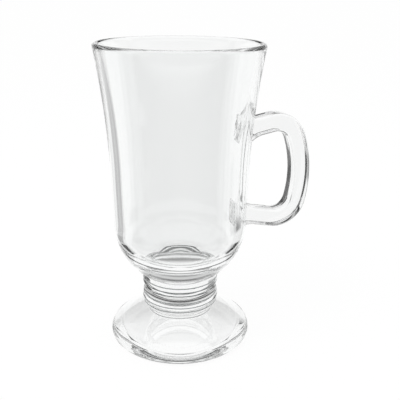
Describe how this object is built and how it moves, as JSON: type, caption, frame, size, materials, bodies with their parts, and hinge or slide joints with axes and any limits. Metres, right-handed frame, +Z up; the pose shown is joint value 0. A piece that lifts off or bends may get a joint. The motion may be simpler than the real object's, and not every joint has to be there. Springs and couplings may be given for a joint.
{
  "type": "footed glass coffee mug",
  "caption": "Clear glass coffee mug with a flared bowl, a short stem with rounded rings, a domed foot and a D-shaped side handle for hot drinks.",
  "frame": {"origin": "on the mug's axis, in the plane of the flat ring that the foot stands on", "axes": "+Z up along the axis of the bowl, +X from the axis towards the handle, +Y to the side"},
  "size_m": [0.109, 0.0804, 0.15],
  "materials": {
    "clear_glass": "smooth fire-polished clear soda-lime glass"
  },
  "bodies": {
    "root": {"bowl": "clear_glass", "upper_stem_ring": "clear_glass", "lower_stem_ring": "clear_glass", "stem_neck": "clear_glass", "foot": "clear_glass", "handle": "clear_glass"}
  },
  "joints": []
}
